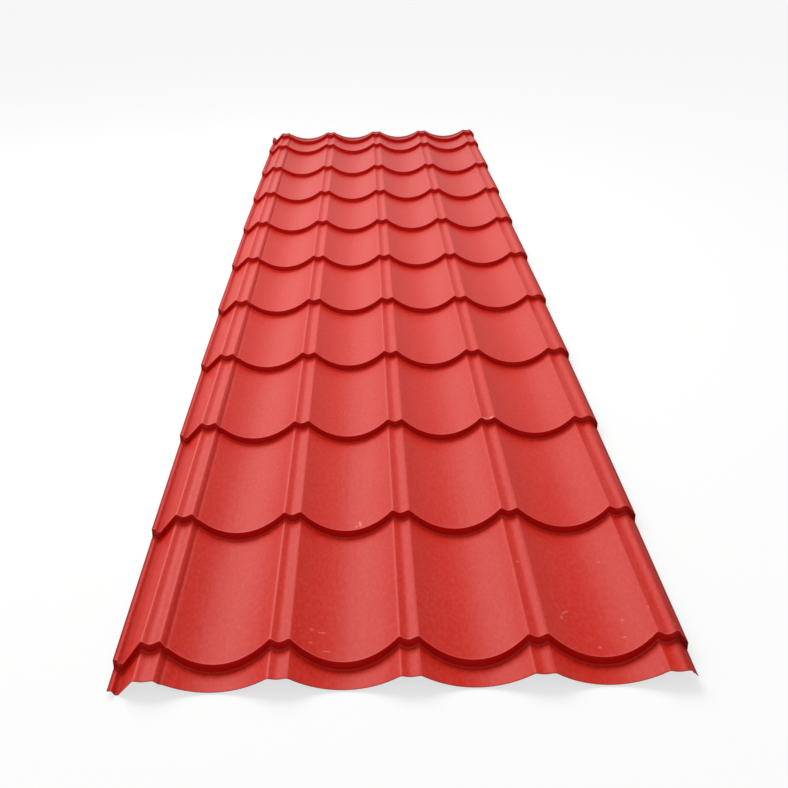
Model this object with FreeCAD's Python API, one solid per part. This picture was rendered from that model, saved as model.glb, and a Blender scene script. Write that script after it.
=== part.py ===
import FreeCAD, Part
import math
import os

# Tile effect roofing sheet, lying flat: one piece of painted steel, rolled into waves across
# its width and pressed into steps along its length. X runs across the sheet, Y from the foot
# (eaves) cut to the head (ridge) cut, and Z up from the floor that it lies on.

os.makedirs("parts", exist_ok=True)
doc = FreeCAD.newDocument("tile_effect_sheet")

# Driving dimensions in mm: alias, value, what it measures.
DIMENSIONS = [
    ("sheet_thickness", 0.5, "steel with its paint"),
    ("wave_pitch", 205, "rib to rib"),
    ("wave_count", 4, "full pans between ribs"),
    ("wave_height", 25, "pan bottom to rib peak"),
    ("rib_width", 31.2, "peak to peak of one rib"),
    ("notch_floor", 6, "flat bottom of a rib's groove"),
    ("notch_offset", 1.2, "how far left of the rib's middle that floor lies"),
    ("rolled_notch", 2.2, "depth of a rib's groove at the cut ends"),
    ("pressed_notch", 3.9, "depth of a rib's groove at a step"),
    ("shoulder_reach", 14.4, "first rib's right peak to the first pan's arc"),
    ("ledge_width", 6, "part of that reach taken by a near level ledge"),
    ("ledge_fall", 1.2, "slope of that ledge down to the pan"),
    ("flank_width", 32.4, "first rib down to the side gutter, at mid-length"),
    ("gutter_width", 5, "flat bottom of the side gutter"),
    ("rolled_gutter_depth", 26.5, "rib peaks to the side gutter at the cut ends"),
    ("pressed_gutter_depth", 22.5, "rib peaks to the side gutter at a step"),
    ("gutter_wall_width", 4, "side gutter up to the lip"),
    ("lip_width", 7.5, "level lip along the left edge"),
    ("lip_depth", 18.5, "rib peaks to that lip"),
    ("edge_flank_width", 12.6, "last rib to the bend at the right edge, at mid-length"),
    ("edge_flank_drop", 3, "last rib down to that bend"),
    ("edge_turn_width", 8.3, "that bend to the right edge"),
    ("edge_turn_drop", 9, "that bend down to the right edge"),
    ("end_draw_in", 7.5, "how much narrower each side lap is at the cut ends"),
    ("draw_in_length", 1200, "how far from a cut end that narrowing reaches"),
    ("course_length", 350, "step to step"),
    ("course_count", 9, "full courses"),
    ("short_course", 180, "course between the last two steps at the head"),
    ("foot_stub", 76.5, "foot cut to the first step, on the ribs"),
    ("head_stub", 36, "last step to the head cut, on the ribs"),
    ("step_height", 15, "drop at each step"),
    ("step_lean", 1.5, "how far a riser leans out of upright"),
    ("step_sweep", 30, "how far a step reaches further down in the pans"),
]

sheet = doc.addObject("Spreadsheet::Sheet", "sizes")
for row, (alias, value, meaning) in enumerate(DIMENSIONS, start=1):
    sheet.set("A%d" % row, alias)
    sheet.set("B%d" % row, str(value))
    sheet.set("C%d" % row, meaning)
    sheet.setAlias("B%d" % row, alias)
doc.recompute()
size = {alias: float(sheet.get(alias)) for alias, _, _ in DIMENSIONS}

thickness = size["sheet_thickness"]
depth = size["wave_height"]
half_pan = (size["wave_pitch"] - size["rib_width"]) / 2
pan_radius = (half_pan ** 2 + depth ** 2) / (2 * depth)
sweep = size["step_sweep"] / depth
courses = [size["course_length"]] * int(size["course_count"]) + [size["short_course"]]
sheet_length = size["foot_stub"] + sum(courses) + size["head_stub"]


def draw_in(y):
    """How much narrower each side lap is at this distance from the foot cut: rolled sheet
    closes up towards its cut ends."""
    nearest_end = min(y, sheet_length - y)
    return size["end_draw_in"] * max(0.0, 1 - nearest_end / size["draw_in_length"])


def section_corners(form, narrowing):
    """Corners (x, z) of the section's top, left to right, with z = 0 at the rib peaks. The
    form is rolled or pressed. The third value is True where the stretch that ends there is a
    pan's arc."""
    half_rib = size["rib_width"] / 2
    half_floor = size["notch_floor"] / 2
    notch = size[form + "_notch"]
    gutter_z = -size[form + "_gutter_depth"]
    ribs = int(size["wave_count"]) + 1
    first_rib = -size["wave_pitch"] * (ribs - 1) / 2
    gutter_right = first_rib - half_rib - size["flank_width"] + narrowing
    gutter_left = gutter_right - size["gutter_width"]
    lip_right = gutter_left - size["gutter_wall_width"]
    corners = [
        (lip_right - size["lip_width"], -size["lip_depth"], False),
        (lip_right, -size["lip_depth"], False),
        (gutter_left, gutter_z, False),
        (gutter_right, gutter_z, False),
    ]
    for rib in range(ribs):
        centre = first_rib + rib * size["wave_pitch"]
        groove = centre - size["notch_offset"]
        corners.append((centre - half_rib, 0.0, rib > 0))
        corners.append((groove - half_floor, -notch, False))
        corners.append((groove + half_floor, -notch, False))
        corners.append((centre + half_rib, 0.0, False))
        if rib == 0:
            corners += shoulder_corners(centre + half_rib)
    bend = corners[-1][0] + size["edge_flank_width"] - narrowing
    bend_z = -size["edge_flank_drop"]
    corners.append((bend, bend_z, False))
    corners.append((bend + size["edge_turn_width"], bend_z - size["edge_turn_drop"], False))
    return corners


def shoulder_corners(peak):
    """The first rib, which the next sheet laps over, falls to a narrow ledge that ends on the
    first pan's arc."""
    arc_x = peak + size["shoulder_reach"]
    from_middle = half_pan - size["shoulder_reach"]
    arc_z = pan_radius - depth - math.sqrt(pan_radius ** 2 - from_middle ** 2)
    ledge_x = arc_x - size["ledge_width"]
    return [(ledge_x, arc_z + size["ledge_fall"], False), (arc_x, arc_z, False)]


def heading(start, end, at_start):
    """Unit direction in the section at one end of the stretch between two corners."""
    if end[2]:
        middle = end[0] - half_pan
        slope = math.asin(((start if at_start else end)[0] - middle) / pan_radius)
    else:
        slope = math.atan2(end[1] - start[1], end[0] - start[0])
    return math.cos(slope), math.sin(slope)


def underside_corners(corners):
    """The section's corners moved down by one thickness, square to the stretches they join."""
    moved = []
    for i, (x, z, is_arc) in enumerate(corners):
        headings = []
        if i > 0:
            headings.append(heading(corners[i - 1], corners[i], False))
        if i < len(corners) - 1:
            headings.append(heading(corners[i], corners[i + 1], True))
        across = sum(h[0] for h in headings) / len(headings)
        rise = sum(h[1] for h in headings) / len(headings)
        scale = thickness / (across ** 2 + rise ** 2)
        moved.append((x + rise * scale, z - across * scale, is_arc))
    return moved


def pan_arc(start, end, radius, matrix):
    """Arc of a pan between its two ends. Its three poles and weight keep it exact when the
    station's matrix shears it."""
    chord = end - start
    half_angle = math.asin(chord.Length / 2 / radius)
    downwards = FreeCAD.Vector(chord.z, 0, -chord.x)
    crossing = (start + end) / 2 + downwards * (math.tan(half_angle) / 2)
    arc = Part.BezierCurve()
    arc.setPoles([matrix.multVec(pole) for pole in (start, crossing, end)])
    arc.setWeight(2, math.cos(half_angle))
    return arc.toShape()


def section_edges(corners, radius, lag, matrix):
    """Edges through the section's corners in the upright plane y = lag, put in place."""
    edges = []
    for start, end in zip(corners, corners[1:]):
        a = FreeCAD.Vector(start[0], lag, start[1])
        b = FreeCAD.Vector(end[0], lag, end[1])
        if end[2]:
            edges.append(pan_arc(a, b, radius, matrix))
        else:
            edges.append(Part.makeLine(matrix.multVec(a), matrix.multVec(b)))
    return edges


def station(y, z, form, shear, stretch, lag):
    """Closed outline of the sheet at one line across it: the section stretched in height,
    sheared so that its deep parts reach further down the slope, and moved to y, z."""
    matrix = FreeCAD.Matrix(
        1, 0, 0, 0,
        0, 1, shear, y,
        0, 0, stretch, z,
        0, 0, 0, 1)
    corners = section_corners(form, draw_in(y))
    top = section_edges(corners, pan_radius, 0.0, matrix)
    under = section_edges(
        underside_corners(corners), pan_radius + thickness, lag, matrix)
    right_edge = Part.makeLine(top[-1].Vertexes[-1].Point, under[-1].Vertexes[-1].Point)
    left_edge = Part.makeLine(under[0].Vertexes[0].Point, top[0].Vertexes[0].Point)
    return Part.Wire(top + [right_edge] + under[::-1] + [left_edge])


def stations():
    """Outlines from the foot cut to the head cut: each course climbs to its own lip, and the
    next course down starts one step lower, below the riser."""
    tilt = size["step_height"] / size["course_length"]
    stretch = 1 + tilt * sweep
    low = depth + thickness
    lag = thickness * (1 + sweep)
    lip_y = size["foot_stub"]
    outlines = [station(0, low + tilt * lip_y, "rolled", 0, stretch, 0)]
    for course in courses + [0]:
        start_y = lip_y - size["step_lean"]
        outlines.append(station(start_y, low, "pressed", sweep, 1, lag))
        outlines.append(station(lip_y, low + size["step_height"], "pressed", sweep, 1, lag))
        lip_y += course
    head_y = lip_y + size["head_stub"]
    head_z = low + size["step_height"] - tilt * size["head_stub"]
    outlines.append(station(head_y, head_z, "rolled", 0, stretch, 0))
    return outlines


outlines = stations()
solid = Part.makeLoft(outlines, True, True)
box = solid.optimalBoundingBox()
roofing_sheet = doc.addObject("Part::Feature", "roofing_sheet")
roofing_sheet.Label = "roofing_sheet"
roofing_sheet.Shape = solid
roofing_sheet.Placement.Base = FreeCAD.Vector(-box.Center.x, -box.Center.y, -box.ZMin)
doc.recompute()

for obj in doc.Objects:
    if "Invalid" in obj.State or "Error" in obj.State:
        raise RuntimeError("%s did not recompute: %s" % (obj.Label, obj.State))
shape = roofing_sheet.Shape
if shape.isNull() or not shape.isValid() or len(shape.Solids) != 1:
    raise RuntimeError("roofing_sheet is not one valid solid")
shape.exportStep("parts/roofing_sheet.step")
box = shape.optimalBoundingBox()
print("roofing_sheet %.1f x %.1f x %.1f mm, %.0f mm3, %d faces" % (
    box.XLength, box.YLength, box.ZLength, shape.Volume, len(shape.Faces)))
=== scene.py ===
import math

import bpy
import numpy as np
from mathutils import Matrix


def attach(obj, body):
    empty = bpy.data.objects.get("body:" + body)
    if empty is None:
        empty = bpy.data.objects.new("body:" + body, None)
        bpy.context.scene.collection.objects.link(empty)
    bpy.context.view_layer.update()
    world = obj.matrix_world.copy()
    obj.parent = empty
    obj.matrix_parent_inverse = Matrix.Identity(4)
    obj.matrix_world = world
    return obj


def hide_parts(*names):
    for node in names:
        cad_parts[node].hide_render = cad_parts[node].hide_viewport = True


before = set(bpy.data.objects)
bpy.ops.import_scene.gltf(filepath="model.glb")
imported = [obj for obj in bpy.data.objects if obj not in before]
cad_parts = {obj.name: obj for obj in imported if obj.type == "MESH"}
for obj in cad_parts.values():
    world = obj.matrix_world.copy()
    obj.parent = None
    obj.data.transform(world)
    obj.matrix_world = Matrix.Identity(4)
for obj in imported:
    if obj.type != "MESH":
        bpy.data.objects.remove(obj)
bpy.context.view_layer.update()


def linearColour(hexText):
    # sRGB hex to linear: below 0.04045 divide by 12.92, above it ((v + 0.055) / 1.055) ** 2.4
    channels = [int(hexText[i:i + 2], 16) / 255 for i in (0, 2, 4)]
    linear = [v / 12.92 if v <= 0.04045 else ((v + 0.055) / 1.055) ** 2.4 for v in channels]
    return (*linear, 1.0)


def addNode(tree, kind, settings=None, **inputs):
    # one node: settings are its own properties, inputs are values or output sockets to link,
    # each named for its socket with _ for a space, or _ and its number
    node = tree.nodes.new(kind)
    for name, value in (settings or {}).items():
        setattr(node, name, value)
    for name, value in inputs.items():
        numbered = name[1:].isdigit()
        socket = node.inputs[int(name[1:]) if numbered else name.replace("_", " ")]
        if isinstance(value, bpy.types.NodeSocket):
            tree.links.new(value, socket)
        else:
            socket.default_value = value
    return node


# The sheet's shape in mm. Down to stepSweep the values are the construction's, and then come
# the turns of its corners, the grid that carries it and the places where its film is marked,
# some with painted highlights and painted shade
sheetShape = {
    "thickness": 0.5,
    "wavePitch": 205.0,
    "waveCount": 4,
    "waveHeight": 25.0,
    "ribWidth": 31.2,
    "notchFloor": 6.0,
    "notchOffset": 1.2,
    "rolledNotch": 2.2,          # rib groove at the cut ends
    "pressedNotch": 3.9,         # rib groove at a step
    "shoulderReach": 14.4,
    "ledgeWidth": 6.0,
    "ledgeFall": 1.2,
    "flankWidth": 32.4,
    "gutterWidth": 5.0,
    "rolledGutterDepth": 26.5,
    "pressedGutterDepth": 22.5,
    "gutterWallWidth": 4.0,
    "lipWidth": 7.5,
    "lipDepth": 18.5,
    "edgeFlankWidth": 12.6,
    "edgeFlankDrop": 3.0,
    "edgeTurnWidth": 8.3,
    "edgeTurnDrop": 9.0,
    "endDrawIn": 7.5,            # each side lap is this much narrower at the cut ends
    "drawInLength": 1200.0,
    "courseLength": 350.0,
    "courseCount": 9,
    "shortCourse": 180.0,
    "footStub": 76.5,
    "headStub": 36.0,
    "stepHeight": 15.0,
    "stepLean": 1.5,
    "stepSweep": 30.0,
    "ribRounding": 6.4,          # width over which a rolled corner turns, on ribs and in pans,
    "lapRounding": 3.0,          # in the left lap and at the ledge,
    "edgeRounding": 18.0,        # and where the right edge turns down
    "roundingChange": 8.0,       # stretch of the first pan where lapRounding becomes ribRounding
    "lipRounding": 2.0,          # width over which a pressed corner turns, at a step's lip
    "footRounding": 3.6,         # and at its foot
    "averageSteps": 17,          # places at which a corner's turn is worked out
    "panChords": 300,            # chords that stand for a pan's arc
    "panColumns": 21,            # columns of the grid in each pan, and on the other stretches
    "ribColumns": 19,
    "lipColumns": 4,
    "gutterColumns": 15,
    "flankColumns": 5,
    "ledgeColumns": 7,
    "edgeColumns": 10,
    "ribMargin": 0.6,            # how far past a rib its columns reach, in ribRoundings
    "gutterMargin": 3.0,         # how far past the gutter's corners, and past the ledge
    "ledgeMargin": 2.0,
    "lipGap": 1.0,               # from those columns to the next: on the lip, at both ends of
    "flankGaps": (3.0, 2.0),     # the left flank, and beside a rib and at the right edge
    "runGap": 1.5,
    "nearFoot": (-9, -5, -3, -1.8, -1.1, -0.4, 0.4, 1.1, 1.8),  # rows beside each step's foot
    "nearLip": (-1.1, -0.7, -0.35, 0, 0.35, 0.7, 1.1, 9),       # and lip, and at each cut end
    "nearCut": (0, 1, 2, 3.5),
    "rowSpacing": 85.0,          # between the rows of a plain course
    # the dark at the left and foot cuts is film dragged by the blade; over the right edge's flank
    # it is painted shade, and towards the head cut the film is darker over a longer stretch
    "leftEdge": 7.0,             # how far in from each edge of the sheet the film is darkened
    "rightEdgeAndShade": 23.0,
    "footEdge": 3.0,
    "headEdge": 55.0,
    "edgeFall": 1.5,             # power by which that darkness falls inwards
    "hollowShadeReach": 4.0,          # how far a line of painted shade reaches from the middle of its hollow
    "flankShadeShare": 0.6,            # painted shade on the last rib's right flank, at the foot
    "flankShadeLength": 900.0,         # how far up the sheet it reaches there
    "flankShadeStart": (-6.0, -1.0),   # from the last ridge, from unshaded to fully shaded
    "riserMargin": 0.5,          # stretch at a riser's foot and lip that isn't marked as riser
}


def ribCentres(shape):
    # evenly spaced about the middle of the sheet
    return (np.arange(shape["waveCount"] + 1) - shape["waveCount"] / 2) * shape["wavePitch"]


def sectionProfile(shape, form):
    # the section from left to right, x and height under the rib peaks: straight lines between
    # corners, and in each pan a circular arc of depth waveHeight, given as short chords; with
    # the width over which each point's corner turns, and the x of the corners
    half, floorHalf = shape["ribWidth"] / 2, shape["notchFloor"] / 2
    depth, notch, gutter = shape["waveHeight"], shape[form + "Notch"], shape[form + "GutterDepth"]
    ribs = ribCentres(shape)
    halfPan = shape["wavePitch"] / 2 - half
    radius = (halfPan ** 2 + depth ** 2) / (2 * depth)
    gutterRight = ribs[0] - half - shape["flankWidth"]
    gutterLeft = gutterRight - shape["gutterWidth"]
    lipRight = gutterLeft - shape["gutterWallWidth"]
    x = [lipRight - shape["lipWidth"], lipRight, gutterLeft, gutterRight]
    z = [-shape["lipDepth"], -shape["lipDepth"], -gutter, -gutter]
    rounding = [shape["lapRounding"]] * 4
    corners = list(x[1:])
    for rib in ribs:
        groove = rib - shape["notchOffset"]
        ribX = [rib - half, groove - floorHalf, groove + floorHalf, rib + half]
        x, z, corners = x + ribX, z + [0, -notch, -notch, 0], corners + ribX
        rounding += [shape["ribRounding"]] * 4
        if rib == ribs[-1]:
            break
        start = shape["shoulderReach"] if rib == ribs[0] else 0
        chords = np.linspace(start - halfPan, halfPan, shape["panChords"])[:-1]
        arcZ = radius - depth - np.sqrt(radius ** 2 - chords ** 2)
        if start:
            ledge = rib + half + start - shape["ledgeWidth"]
            x, z = x + [ledge], z + [arcZ[0] + shape["ledgeFall"]]
            corners += [ledge, ledge + shape["ledgeWidth"]]
            rounding.append(shape["lapRounding"])
        x, z = x + list(chords + rib + shape["wavePitch"] / 2), z + list(arcZ)
        first = shape["lapRounding"] if start else shape["ribRounding"]
        reach = np.array([start, start + shape["roundingChange"]]) - halfPan
        rounding += list(np.interp(chords, reach, [first, shape["ribRounding"]]))
    bend, bendZ = ribs[-1] + half + shape["edgeFlankWidth"], -shape["edgeFlankDrop"]
    x += [bend, bend + shape["edgeTurnWidth"]]
    z += [bendZ, bendZ - shape["edgeTurnDrop"]]
    rounding += [shape["edgeRounding"]] * 2
    return np.array(x), np.array(z), np.array(rounding), np.array(corners + [bend])


def averaged(at, stations, values, width, steps):
    # mean of a line through the stations over a window of the given width, so that each corner
    # turns as round a roller or press edge; the window closes up at the line's ends
    reach = np.minimum(width / 2, np.minimum(at - stations[0], stations[-1] - at))
    shifts = np.linspace(-1, 1, steps)
    weights = np.where(np.abs(shifts) == 1, 0.5, 1.0)
    total = sum(w * np.interp(at + s * reach, stations, values) for s, w in zip(shifts, weights))
    return total / weights.sum()


def ridgeLines(shape):
    # x of both ridges of every rib, the gutter's inner corner and the first rib's ledge; and of
    # the two hollows where a line of shade is painted on the film, in the gutter and along that
    # ledge
    half = shape["ribWidth"] / 2
    ribs = ribCentres(shape)
    gutter = ribs[0] - half - shape["flankWidth"]
    ledge = ribs[0] + half + shape["shoulderReach"] - shape["ledgeWidth"]
    hollows = np.array([gutter - shape["gutterWidth"] / 2, ledge])
    return np.concatenate([ribs - half, ribs + half, [gutter, ledge]]), hollows


def sectionColumns(shape):
    # x of the grid's columns: close together over the ribs, side gutter, ledge and edge bend,
    # and an even run in each pan; the gaps keep one run apart from the next
    x, _, _, corners = sectionProfile(shape, "pressed")
    half = shape["ribWidth"] / 2
    ribs = ribCentres(shape)
    over = half + shape["ribRounding"] * shape["ribMargin"]
    ledgeEnd = ribs[0] + half + shape["shoulderReach"] + shape["ledgeMargin"]
    gutterStart = corners[0] - shape["gutterMargin"]
    gutterEnd = corners[2] + shape["gutterMargin"]
    flankStart = gutterEnd + shape["flankGaps"][0]
    flankEnd = ribs[0] - over - shape["flankGaps"][1]
    gap = shape["runGap"]
    columns = [
        x[-1:],
        (ribs[:, None] + np.linspace(-over, over, shape["ribColumns"])).ravel(),
        np.linspace(x[0], gutterStart - shape["lipGap"], shape["lipColumns"]),
        np.linspace(gutterStart, gutterEnd, shape["gutterColumns"]),
        np.linspace(flankStart, flankEnd, shape["flankColumns"]),
        np.linspace(ribs[0] + over + gap, ledgeEnd, shape["ledgeColumns"]),
        np.linspace(ribs[-1] + over + gap, x[-1] - gap, shape["edgeColumns"]),
    ]
    starts = ribs[:-1] + over
    starts[0] = ledgeEnd
    for left, right in zip(starts, ribs[1:] - over):
        columns.append(np.linspace(left, right, shape["panColumns"])[1:-1])
    return np.unique(np.round(np.concatenate(columns), 3))


def lengthPath(shape):
    # corners of the line that the ribs follow up the sheet: y, z, how far the section is
    # sheared down the slope, its stretch in height, how far it is pressed, and the laps' draw-in
    tilt = shape["stepHeight"] / shape["courseLength"]
    shear = shape["stepSweep"] / shape["waveHeight"]
    low = shape["waveHeight"] + shape["thickness"]
    courses = [shape["courseLength"]] * shape["courseCount"] + [shape["shortCourse"]]
    length = shape["footStub"] + sum(courses) + shape["headStub"]
    lipY = shape["footStub"]
    corners = [(0, low + tilt * lipY, 0, 1 + tilt * shear, 0)]
    for course in courses + [0]:
        corners.append((lipY - shape["stepLean"], low, shear, 1, 1))
        corners.append((lipY, low + shape["stepHeight"], shear, 1, 1))
        lipY += course
    headZ = low + shape["stepHeight"] - tilt * shape["headStub"]
    corners.append((length, headZ, 0, 1 + tilt * shear, 0))
    corners = np.array(corners)
    ends = np.minimum(corners[:, 0], length - corners[:, 0])
    drawIn = shape["endDrawIn"] * np.maximum(0, 1 - ends / shape["drawInLength"])
    return np.column_stack([corners, drawIn])


def pathRows(shape):
    # the path's values at each grid row, each corner averaged over its rounding, with how far
    # up the path the row lies and the places of the feet and lips on it
    corners = lengthPath(shape)
    along = np.concatenate([[0], np.cumsum(np.hypot(*np.diff(corners[:, :2], axis=0).T))])
    feet, lips = along[1:-1:2], along[2:-1:2]
    nearCut = np.array(shape["nearCut"])
    rows = [(feet[:, None] + shape["nearFoot"]).ravel(),
            (lips[:, None] + shape["nearLip"]).ravel(),
            nearCut,
            along[-1] - nearCut]
    for start, end in zip(along[:-1], along[1:]):
        spans = max(1, round((end - start) / shape["rowSpacing"]))
        rows.append(np.linspace(start, end, spans + 1)[1:-1])
    rows = np.unique(np.round(np.concatenate(rows), 3))
    width = np.empty(len(along))
    width[1:-1:2], width[2:-1:2] = shape["footRounding"], shape["lipRounding"]
    width[[0, -1]] = shape["lipRounding"]
    width = np.interp(rows, along, width)
    steps = shape["averageSteps"]
    values = np.stack([averaged(rows, along, c, width, steps) for c in corners.T], 1)
    return values, rows, feet, lips


def sheetGrid(shape):
    # top surface: x of the column, moved in by the row's draw-in where it lies in a side lap;
    # y = path y + shear * height; z = path z + stretch * height, where height is the section's
    # at that column, between its rolled and its pressed form as far as the row is pressed
    x = sectionColumns(shape)
    path, rows, feet, lips = pathRows(shape)
    heights = []
    for form in ("rolled", "pressed"):
        stations, z, rounding, corners = sectionProfile(shape, form)
        width = np.interp(x, stations, rounding)
        heights.append(averaged(x, stations, z, width, shape["averageSteps"]))
    sharp = np.interp(x, stations, z)  # the pressed section with its corners unturned
    pressed = path[:, 4:5]
    height = (1 - pressed) * heights[0] + pressed * heights[1]
    lapShare = np.interp(x, [corners[2], corners[3]], [1, 0]) - np.interp(x, corners[-2:], [0, 1])
    points = np.empty((len(path), len(x), 3))
    points[..., 0] = x + path[:, 5:6] * lapShare
    points[..., 1] = path[:, 0:1] + path[:, 2:3] * height
    points[..., 2] = path[:, 1:2] + path[:, 3:4] * height
    return points, sheetMarks(shape, x, np.abs(heights[1] - sharp), rows, feet, lips)


def sheetMarks(shape, x, cutOff, rows, feet, lips):
    # what the coating follows, one value for each vertex: bend, the mm that the rounding cuts
    # off a ridge; belowStep and aboveLip, the mm down the slope from a step's foot and up it
    # from its lip; riser, 1 on a riser, where a deeper red is painted as shade; the edge mark, 1
    # at the sheet's own edge, falling to 0 inwards, which over the right edge's flank is painted
    # shade, and on the last rib's flank a share of painted shade at the foot, falling to 0 up the
    # sheet;
    # the hollow mark, 1 in the middle of a hollow, falling to 0 on both sides, a painted shade
    # line
    ridges, hollows = ridgeLines(shape)
    onRidge = np.abs(x[:, None] - ridges).min(1) < shape["ribRounding"] / 2
    # a line of painted shade along each hollow
    hollowShade = 1 - np.abs(x[:, None] - hollows).min(1) / shape["hollowShadeReach"]
    down = feet - rows[:, None]
    up = rows[:, None] - lips
    margin = shape["riserMargin"]
    riser = ((rows[:, None] > feet + margin) & (rows[:, None] < lips - margin)).any(1)
    # towards the right edge the dark reaches across the turned-down flank as painted shade
    sides = np.maximum(1 - (x - x[0]) / shape["leftEdge"],
                       1 - (x[-1] - x) / shape["rightEdgeAndShade"])
    cuts = np.maximum(1 - (rows - rows[0]) / shape["footEdge"],
                      1 - (rows[-1] - rows) / shape["headEdge"])
    edge = np.maximum(0, np.maximum(cuts[:, None], sides[None, :])) ** shape["edgeFall"]
    # painted shade on the last rib's flank, strongest at the foot and fading up the sheet
    lastRidge = ribCentres(shape)[-1] + shape["ribWidth"] / 2
    flankShadeFrom = lastRidge + np.array(shape["flankShadeStart"])
    flankShade = np.outer(np.maximum(0, 1 - rows / shape["flankShadeLength"]),
                    np.interp(x, flankShadeFrom, [0, shape["flankShadeShare"]]))
    across, along = np.ones_like(x), np.ones_like(rows)
    rounded, offStep = 0.01, 999.0  # rows are rounded to less than this; no step is near
    return {
        # bend carries the pale line over each ridge, film whitened by bending and partly a
        # painted highlight
        "bend": np.outer(along, cutOff * onRidge),
        "belowStep": np.outer(np.where(down > -rounded, down, offStep).min(1), across),
        "aboveLip": np.outer(np.where(up > -rounded, up, offStep).min(1), across),
        "riser": np.outer(riser, across),
        "edge": np.maximum(edge, flankShade),
        "hollowShade": np.outer(along, np.maximum(0, hollowShade)),
    }


def gridNormals(points):
    # cross product of the directions across and along the grid
    across = np.gradient(points, axis=1)
    along = np.gradient(points, axis=0)
    normals = np.cross(across, along)
    return normals / np.linalg.norm(normals, axis=2, keepdims=True)


def gridFaces(rows, columns, first, flip):
    # quads of a rows by columns grid whose first vertex has the index first
    index = first + np.arange(rows * columns).reshape(rows, columns)
    quads = np.stack([index[:-1, :-1], index[:-1, 1:], index[1:, 1:], index[1:, :-1]], -1)
    quads = quads.reshape(-1, 4)
    return quads[:, ::-1] if flip else quads


def rimFaces(rows, columns):
    # quads that close the rim between the top grid and the underside grid below it
    index = np.arange(rows * columns).reshape(rows, columns)
    rim = np.concatenate([index[0, :], index[1:, -1], index[-1, -2::-1], index[-2:0:-1, 0]])
    follow = np.roll(rim, -1)
    under = rows * columns
    return np.stack([rim, rim + under, follow + under, follow], -1)


def markRimSharp(mesh, rim):
    # an edge of the top or of the underside is sharp where both its ends lie on the rim
    layer = np.zeros(len(mesh.vertices))
    layer[rim[:, 0]], layer[rim[:, 1]] = 1, 2
    ends = np.empty(len(mesh.edges) * 2, dtype=np.int32)
    mesh.edges.foreach_get("vertices", ends)
    ends = layer[ends].reshape(-1, 2)
    sharp = (ends[:, 0] > 0) & (ends[:, 0] == ends[:, 1])
    attribute = mesh.attributes.new("sharp_edge", "BOOLEAN", "EDGE")
    attribute.data.foreach_set("value", sharp)


def buildSheet(shape, materials):
    # underside: the top moved by the thickness against its normals, kept within the outline
    top, marks = sheetGrid(shape)
    under = top - gridNormals(top) * shape["thickness"]
    for axis in (0, 1):
        under[..., axis] = np.clip(under[..., axis], top[..., axis].min(), top[..., axis].max())
    under[0, :, 1] = top[0, :, 1]
    under[-1, :, 1] = top[-1, :, 1]
    rows, columns = top.shape[:2]
    points = np.concatenate([top.reshape(-1, 3), under.reshape(-1, 3)])
    points[:, :2] -= (points[:, :2].min(0) + points[:, :2].max(0)) / 2
    points /= 1000
    topFaces = gridFaces(rows, columns, 0, False)
    underFaces = gridFaces(rows, columns, rows * columns, True)
    rim = rimFaces(rows, columns)
    faces = np.concatenate([topFaces, underFaces, rim])
    mesh = bpy.data.meshes.new("roofingSheet")
    mesh.vertices.add(len(points))
    mesh.vertices.foreach_set("co", points.ravel())
    mesh.loops.add(faces.size)
    mesh.loops.foreach_set("vertex_index", faces.ravel())
    mesh.polygons.add(len(faces))
    mesh.polygons.foreach_set("loop_start", np.arange(len(faces)) * 4)
    mesh.polygons.foreach_set("loop_total", np.full(len(faces), 4))
    kinds = np.repeat([0, 1, 2], [len(topFaces), len(underFaces), len(rim)])
    mesh.polygons.foreach_set("material_index", kinds)
    mesh.polygons.foreach_set("use_smooth", kinds < 2)
    for name, values in marks.items():
        attribute = mesh.attributes.new(name, "FLOAT", "POINT")
        attribute.data.foreach_set("value", np.tile(values.ravel(), 2))
    mesh.update(calc_edges=True)
    mesh.validate()
    markRimSharp(mesh, rim)
    for material in materials:
        mesh.materials.append(material)
    piece = bpy.data.objects.new("roofingSheetSkin", mesh)
    bpy.context.scene.collection.objects.link(piece)
    print("sheet:", rows, "x", columns, "grid,", len(faces) * 2, "triangles")
    return piece


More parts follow.
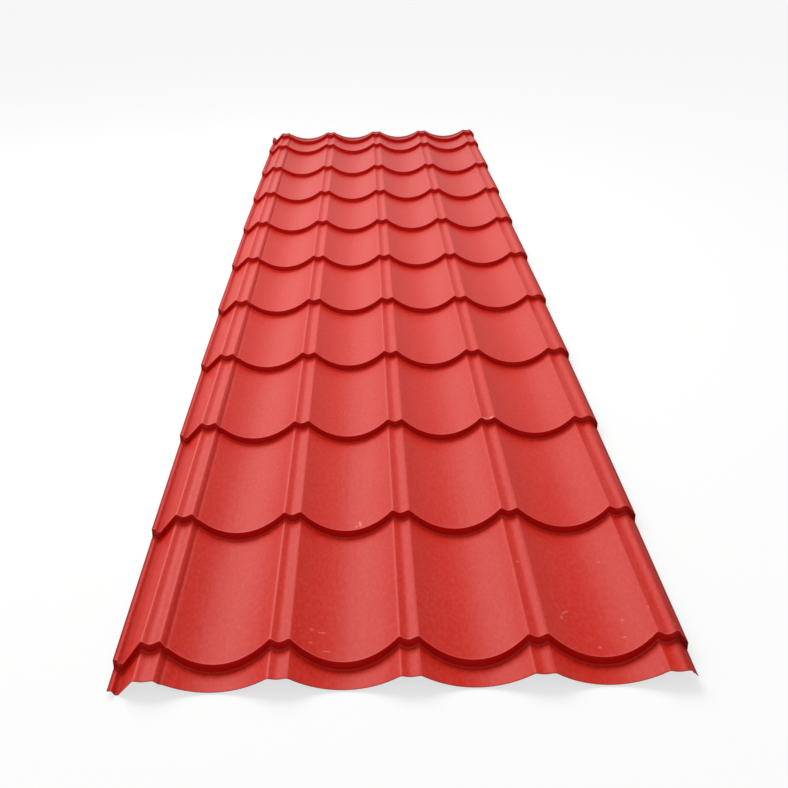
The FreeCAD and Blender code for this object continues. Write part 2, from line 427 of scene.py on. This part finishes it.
# Polyester coil coating on galvanised steel, roller-laid: a satin red film with a clear, broad
# sheen and a fine mottle, paler where the rolls and the press have stretched it over a bend,
# where the pale lines on ridges and lips are partly painted highlights. Painted shade darkens
# the risers, hollows, creases and the right edge's flank, and the film is dragged dark at its
# edges. A share is how far the colour goes over to the one named for it
redCoating = {
    "colour": "be1503",
    "fadedColour": "c41e05",
    "streakWidth": 30.0,         # mm across a faint streak along the coil
    "streaksPerMetre": 1.2,      # along the coil
    "mottleWidth": 6.0,          # mm across the coarsest mottle, where the film lies thin
    "mottleDrawn": 2.0,          # how many times longer than wide it is
    "mottleLevel": (0.42, 0.75),  # noise from plain to palest mottle
    "mottleShare": 0.19,
    "paleFilmAndHighlightColour": "e0665c",      # film whitened over a bend, the mottle's pale, and the painted highlights
    "bendHeight": (0.25, 0.75),  # mm that the bend cuts off its corner, from plain to palest
    "bendHighlightShare": 0.55,
    "footLightLine": 2.8,             # mm from a step's foot to the middle of the pale line there, partly painted light in its shadow
    "footLightReach": 2.6,
    "footLightShare": 0.3,
    "lipHighlightReach": 4.0,         # mm that the painted highlight on a step's lip reaches up the slope
    "lipHighlightShare": 0.45,
    # a deeper red on the risers, painted shade
    "riserShadeColour": "bc0c06",
    "edgeColour": "7a120d",      # film dragged dark and dull towards the sheared edge, and painted shade
    "edgeRoughness": 0.95,
    "edgeShare": 0.85,
    # painted shade in the hollows
    "hollowShadeColour": "7a120d",
    "hollowShadeShare": 0.6,
    "roughness": (0.44, 0.48),
    "roughnessLevel": (0.3, 0.7),  # noise from smoothest to roughest
    "specular": 0.165,
    "rippleWidth": 9.0,          # mm across a ripple left by the coating roller
    "rippleStrength": 0.22,
    "streakHeight": 2.5,         # how high the streaks stand, in ripple heights
    "scuffColour": "f4b4aa",
    # painted shade of the small creases
    "creaseShadeColour": "8c1210",
    "strokeCore": 0.4,           # share of a scuff or crease that has its full strength
}

# scuffs on the film, and small creases at the trodden right edge painted as shade: x and y from
# the middle of the sheet, half length and half width in mm, degrees that each is turned, and its
# strength
scuffs = [
    (-63.5, -1306, 13, 3.2, 95, 0.34), (-71, -1313, 4, 3, 0, 0.34),
    (-143, -1605, 3.6, 3.6, 0, 0.19), (-126, -1608, 9, 2.6, 10, 0.19),
    (-143, -1638, 3.4, 3, 0, 0.19), (-118, -1652, 9, 2.4, 5, 0.19),
    (277, -1569, 9, 2.6, 38, 0.19), (267, -1587, 6, 2.6, 90, 0.19),
    (271, -1575, 3, 3, 0, 0.19), (360, -1634, 5, 2.6, 0, 0.19),
    (317, -1652, 3.4, 3.4, 0, 0.19), (366, -1593, 3.4, 3.4, 0, 0.19),
    (409, -1582, 3, 3.6, 0, 0.19), (440, -1628, 3, 3.6, 0, 0.19),
    (214, -1445, 3, 3.6, 0, 0.19), (362, -1428, 3.4, 3, 0, 0.19),
    (212, -946, 9, 4, -8, 0.45), (226, -943, 8, 4, 35, 0.45),
]
creaseShades = [
    (443, -1672, 8, 1.8, 50, 1), (449, -1666, 7, 1.6, 130, 1), (446, -1658, 6, 1.6, 40, 1),
    (452, -1650, 7, 1.6, 110, 1),
]


def strokesShare(tree, place, strokes, core):
    # a stroke's strength in its middle and 0 beyond it, falling with the length of the place
    # measured in half lengths and half widths from that middle; the highest of all strokes
    share = None
    for x, y, halfLength, halfWidth, turn, strength in strokes:
        local = addNode(tree, "ShaderNodeMapping", {"vector_type": "TEXTURE"}, Vector=place,
                        Location=(x / 1000, y / 1000, 0),
                        Rotation=(0, 0, math.radians(turn)),
                        Scale=(halfLength / 1000, halfWidth / 1000, 1))
        away = addNode(tree, "ShaderNodeVectorMath", {"operation": "LENGTH"},
                       _0=local.outputs[0])
        inside = addNode(tree, "ShaderNodeMapRange", Value=away.outputs["Value"],
                         From_Min=core, To_Min=strength, To_Max=0.0).outputs[0]
        if share is not None:
            inside = addNode(tree, "ShaderNodeMath", {"operation": "MAXIMUM"},
                             _0=share, _1=inside).outputs[0]
        share = inside
    return share


def mottleShare(tree, place, look):
    # noise drawn out along the coil: 0 at its lower level, mottleShare at its upper one
    drawn = addNode(tree, "ShaderNodeMapping", Vector=place,
                    Scale=(1, 1 / look["mottleDrawn"], 1))
    mottle = addNode(tree, "ShaderNodeTexNoise", Vector=drawn.outputs[0],
                     Scale=1000 / look["mottleWidth"], Detail=3.0, Roughness=0.8)
    return addNode(tree, "ShaderNodeMapRange", Value=mottle.outputs["Fac"],
                   From_Min=look["mottleLevel"][0], From_Max=look["mottleLevel"][1],
                   To_Max=look["mottleShare"]).outputs[0]


def stretchedAndHighlightShare(tree, mark, look):
    # the highest of: a share where the bend mark is high, film whitened over a ridge and partly a
    # painted highlight; a share on a pale line at a given distance from each step's foot, partly
    # film stretched by the press and partly painted light in the step's shadow; and a share on
    # each lip, a painted highlight falling up the slope
    bend = addNode(tree, "ShaderNodeMapRange", Value=mark["bend"],
                   From_Min=look["bendHeight"][0], From_Max=look["bendHeight"][1],
                   To_Max=look["bendHighlightShare"])
    offLine = addNode(tree, "ShaderNodeMath", {"operation": "SUBTRACT"}, _0=mark["belowStep"],
                      _1=look["footLightLine"])
    offLine = addNode(tree, "ShaderNodeMath", {"operation": "ABSOLUTE"}, _0=offLine.outputs[0])
    foot = addNode(tree, "ShaderNodeMapRange", Value=offLine.outputs[0],
                   From_Max=look["footLightReach"], To_Min=look["footLightShare"], To_Max=0.0)
    lip = addNode(tree, "ShaderNodeMapRange", Value=mark["aboveLip"],
                  From_Max=look["lipHighlightReach"], To_Min=look["lipHighlightShare"], To_Max=0.0)
    share = bend
    for line in (foot, lip):
        share = addNode(tree, "ShaderNodeMath", {"operation": "MAXIMUM"},
                        _0=share.outputs[0], _1=line.outputs[0])
    return share.outputs[0]


def redCoatingMaterial(look):
    # colour: two reds in long streaks; then towards the pale red in a fine mottle and where the
    # film is stretched, partly painted highlights; then towards the dark one in the hollows as
    # painted shade, the chalky one on the scuffs, the deep one on the risers as painted shade,
    # and the dark ones in the creases as painted shade and at the sheet's own edge, where it is
    # dragged film and, over the right edge's and last rib's flanks, painted shade
    # roughness: follows the streaks, and rises in the hollows and towards the sheet's own edge
    # relief: the streaks' height times streakHeight plus the ripples' height
    material = bpy.data.materials.new("polyesterCoatedSteelRed")
    material.use_nodes = True
    tree = material.node_tree
    tree.nodes.clear()
    place = addNode(tree, "ShaderNodeTexCoord").outputs["Object"]
    mark = {name: addNode(tree, "ShaderNodeAttribute", {"attribute_name": name}).outputs["Fac"]
            for name in ("bend", "belowStep", "aboveLip", "riser", "edge", "hollowShade")}
    across, along = 1000 / look["streakWidth"], look["streaksPerMetre"]
    streaks = addNode(tree, "ShaderNodeMapping", Vector=place, Scale=(across, along, across))
    fade = addNode(tree, "ShaderNodeTexNoise", Vector=streaks.outputs[0], Scale=1.0, Detail=4.0,
                   Roughness=0.6)
    colour = addNode(tree, "ShaderNodeMix", {"data_type": "RGBA"}, _0=fade.outputs["Fac"],
                     _6=linearColour(look["colour"]), _7=linearColour(look["fadedColour"]))
    # the edge's dark: dragged film at the cuts, painted shade over the right and last flanks
    edge = addNode(tree, "ShaderNodeMath", {"operation": "MULTIPLY"}, _0=mark["edge"],
                   _1=look["edgeShare"])
    # and the hollows' painted shade line
    hollowShade = addNode(tree, "ShaderNodeMath", {"operation": "MULTIPLY"}, _0=mark["hollowShade"],
                     _1=look["hollowShadeShare"])
    core = look["strokeCore"]
    for share, name in ((mottleShare(tree, place, look), "paleFilmAndHighlightColour"),
                        (stretchedAndHighlightShare(tree, mark, look), "paleFilmAndHighlightColour"),
                        (hollowShade.outputs[0], "hollowShadeColour"),
                        (strokesShare(tree, place, scuffs, core), "scuffColour"),
                        (mark["riser"], "riserShadeColour"),
                        (strokesShare(tree, place, creaseShades, core), "creaseShadeColour"),
                        (edge.outputs[0], "edgeColour")):
        colour = addNode(tree, "ShaderNodeMix", {"data_type": "RGBA"}, _0=share,
                         _6=colour.outputs[2], _7=linearColour(look[name]))
    ripple = addNode(tree, "ShaderNodeTexNoise", Vector=place, Scale=1000 / look["rippleWidth"],
                     Detail=2.0, Roughness=0.5)
    height = addNode(tree, "ShaderNodeMath", {"operation": "MULTIPLY_ADD"},
                     _0=fade.outputs["Fac"], _1=look["streakHeight"],
                     _2=ripple.outputs["Fac"])
    bump = addNode(tree, "ShaderNodeBump", Strength=look["rippleStrength"], Distance=0.001,
                   Height=height.outputs[0])
    roughness = addNode(tree, "ShaderNodeMapRange", Value=fade.outputs["Fac"],
                        From_Min=look["roughnessLevel"][0], From_Max=look["roughnessLevel"][1],
                        To_Min=look["roughness"][0], To_Max=look["roughness"][1])
    dull = addNode(tree, "ShaderNodeMath", {"operation": "MAXIMUM"}, _0=edge.outputs[0],
                   _1=hollowShade.outputs[0])
    roughness = addNode(tree, "ShaderNodeMix", {"data_type": "FLOAT"}, _0=dull.outputs[0],
                        _2=roughness.outputs[0], _3=look["edgeRoughness"])
    shader = addNode(tree, "ShaderNodeBsdfPrincipled", Base_Color=colour.outputs[2],
                     Roughness=roughness.outputs[0], Specular_IOR_Level=look["specular"],
                     Normal=bump.outputs[0])
    addNode(tree, "ShaderNodeOutputMaterial", Surface=shader.outputs[0])
    return material


# Epoxy backer coat, roller-laid thin on the coil's reverse: a dull grey in which the coater's
# long faint streaks show
backerCoating = {
    "colour": "b9bab6",
    "thinColour": "a9aaa7",
    "roughness": 0.55,
    "streakWidth": 18.0,         # mm
    "streaksPerMetre": 1.0,
}


def backerMaterial(look):
    # colour: two greys mixed by noise drawn out along the coil
    material = bpy.data.materials.new("epoxyBackerCoatGrey")
    material.use_nodes = True
    tree = material.node_tree
    tree.nodes.clear()
    place = addNode(tree, "ShaderNodeTexCoord").outputs["Object"]
    across, along = 1000 / look["streakWidth"], look["streaksPerMetre"]
    streaks = addNode(tree, "ShaderNodeMapping", Vector=place, Scale=(across, along, across))
    thin = addNode(tree, "ShaderNodeTexNoise", Vector=streaks.outputs[0], Scale=1.0, Detail=5.0,
                   Roughness=0.65)
    colour = addNode(tree, "ShaderNodeMix", {"data_type": "RGBA"}, _0=thin.outputs["Fac"],
                     _6=linearColour(look["colour"]), _7=linearColour(look["thinColour"]))
    shader = addNode(tree, "ShaderNodeBsdfPrincipled", Base_Color=colour.outputs[2],
                     Roughness=look["roughness"])
    addNode(tree, "ShaderNodeOutputMaterial", Surface=shader.outputs[0])
    return material


# Sheared galvanised steel, with the red film dragged over it by the blade: a thin dark line,
# dull, with short greyer stretches
cutEdge = {
    "colour": "5a2320",
    "bareColour": "6f5552",
    "roughness": 0.5,
    "burrLength": 12.0,          # mm
    "bareLevel": (0.55, 0.7),    # noise from film to bare steel
}


def cutEdgeMaterial(look):
    # colour: the dragged film, and bare steel where noise along the edge is high
    material = bpy.data.materials.new("shearedPaintedEdge")
    material.use_nodes = True
    tree = material.node_tree
    tree.nodes.clear()
    place = addNode(tree, "ShaderNodeTexCoord").outputs["Object"]
    burr = addNode(tree, "ShaderNodeTexNoise", Vector=place, Scale=1000 / look["burrLength"],
                   Detail=3.0)
    bare = addNode(tree, "ShaderNodeMapRange", Value=burr.outputs["Fac"],
                   From_Min=look["bareLevel"][0], From_Max=look["bareLevel"][1])
    colour = addNode(tree, "ShaderNodeMix", {"data_type": "RGBA"}, _0=bare.outputs[0],
                     _6=linearColour(look["colour"]), _7=linearColour(look["bareColour"]))
    shader = addNode(tree, "ShaderNodeBsdfPrincipled", Base_Color=colour.outputs[2],
                     Roughness=look["roughness"])
    addNode(tree, "ShaderNodeOutputMaterial", Surface=shader.outputs[0])
    return material


sheetSkin = buildSheet(sheetShape, [
    redCoatingMaterial(redCoating), backerMaterial(backerCoating), cutEdgeMaterial(cutEdge)])
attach(sheetSkin, "root")
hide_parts("roofing_sheet")


# Floor and light: a soft sky, a soft sun from beyond the head end, a broad lamp above the
# sheet as fill, and a fainter one whose sheen falls on the near left
studio = {
    "floorSize": 400.0,                     # m
    "floorDrop": 0.0002,                    # m below the sheet
    "floorColour": "f7f7f6",
    "floorOwnWhite": 0.66,                  # share of its white that shadow can't darken
    "skyStrength": 0.45,
    "sunStrength": 1.83,
    "sunSpan": 40.0,                        # degrees that the sun spans in the sky
    "sunDirection": (-0.32, 0.67, 0.67),
    "lamps": [                              # name, place and aim in m, size in m, power in W
        ("fillLamp", (-0.8, 0.25, 2.25), (-0.2, 0.0, 0.0), 2.0, 23.0),
        ("sheenLamp", (-0.95, 0.5, 1.8), (0.0, 0.0, 0.0), 2.0, 5.0),
    ],
}


def seenDirectly(tree):
    # 1 where the camera sees a surface straight, in a reflection or through glass, else 0
    path = addNode(tree, "ShaderNodeLightPath")
    seen = addNode(tree, "ShaderNodeMath", {"operation": "MAXIMUM"},
                   _0=path.outputs["Is Camera Ray"], _1=path.outputs["Is Glossy Ray"])
    return addNode(tree, "ShaderNodeMath", {"operation": "MAXIMUM"},
                   _0=seen.outputs[0], _1=path.outputs["Is Transmission Ray"]).outputs[0]


def buildFloor(look):
    # one quad just under the sheet, of paper whose shadows a white of its own lightens
    half, z = look["floorSize"] / 2, -look["floorDrop"]
    mesh = bpy.data.meshes.new("studioFloor")
    mesh.from_pydata([(-half, -half, z), (half, -half, z), (half, half, z), (-half, half, z)],
                     [], [(0, 1, 2, 3)])
    material = bpy.data.materials.new("paleStudioPaper")
    material.use_nodes = True
    tree = material.node_tree
    tree.nodes.clear()
    paper = addNode(tree, "ShaderNodeBsdfDiffuse", Color=linearColour(look["floorColour"]))
    white = addNode(tree, "ShaderNodeEmission", Color=(1, 1, 1, 1), Strength=1.0)
    share = addNode(tree, "ShaderNodeMath", {"operation": "MULTIPLY"},
                    _0=seenDirectly(tree), _1=look["floorOwnWhite"])
    mixed = addNode(tree, "ShaderNodeMixShader", _0=share.outputs[0], _1=paper.outputs[0],
                    _2=white.outputs[0])
    addNode(tree, "ShaderNodeOutputMaterial", Surface=mixed.outputs[0])
    mesh.materials.append(material)
    floor = bpy.data.objects.new("studioFloor", mesh)
    bpy.context.scene.collection.objects.link(floor)


def addLight(name, kind, place, towards):
    # a light at its place whose beam, its own -Z, points along the given direction
    light = bpy.data.lights.new(name, kind)
    holder = bpy.data.objects.new(name, light)
    x, y, z = towards
    holder.rotation_euler = (math.atan2(math.hypot(x, y), -z), 0, math.atan2(-x, y))
    holder.location = place
    bpy.context.scene.collection.objects.link(holder)
    return holder, light


def buildLight(look):
    world = bpy.data.worlds.new("studioSky")
    bpy.context.scene.world = world
    world.use_nodes = True
    tree = world.node_tree
    tree.nodes.clear()
    strength = addNode(tree, "ShaderNodeMix", {"data_type": "FLOAT"},
                       _0=seenDirectly(tree), _2=look["skyStrength"], _3=1.0)
    sky = addNode(tree, "ShaderNodeBackground", Color=(1, 1, 1, 1), Strength=strength.outputs[0])
    addNode(tree, "ShaderNodeOutputWorld", Surface=sky.outputs[0])
    sun = addLight("softSun", "SUN", (0, 0, 3), -np.array(look["sunDirection"]))[1]
    sun.energy = look["sunStrength"]
    sun.angle = math.radians(look["sunSpan"])
    for name, place, aim, size, power in look["lamps"]:
        holder, lamp = addLight(name, "AREA", place, np.array(aim) - place)
        lamp.size = size
        lamp.energy = power
        holder.visible_camera = False


buildFloor(studio)
buildLight(studio)
print("floor and light placed")

# the photograph's viewpoint, worked out from the pressed steps and ribs
viewpoint = {
    "place": (-0.0416, -2.8692, 1.125),     # m, from the middle of the sheet on the floor
    "lookDown": 27.963,                     # degrees below level
    "turn": 0.062,                          # degrees to the left of straight up the sheet
    "roll": -1.176,                         # degrees, the camera's right side down
    "fieldOfView": 42.85,                   # degrees across the square picture
    "shiftAcross": 0.0328,                  # share of the picture's width
}


def buildCamera(look):
    lens = bpy.data.cameras.new("photoCamera")
    lens.sensor_width = 36
    lens.angle = math.radians(look["fieldOfView"])
    lens.shift_x = look["shiftAcross"]
    lens.clip_end = 200
    camera = bpy.data.objects.new("photoCamera", lens)
    bpy.context.scene.collection.objects.link(camera)
    camera.matrix_world = (
        Matrix.Translation(look["place"])
        @ Matrix.Rotation(math.radians(look["turn"]), 4, "Z")
        @ Matrix.Rotation(math.radians(90 - look["lookDown"]), 4, "X")
        @ Matrix.Rotation(math.radians(look["roll"]), 4, "Z"))
    bpy.context.scene.camera = camera


buildCamera(viewpoint)
bpy.context.scene.view_settings.view_transform = "Standard"
print("camera placed")
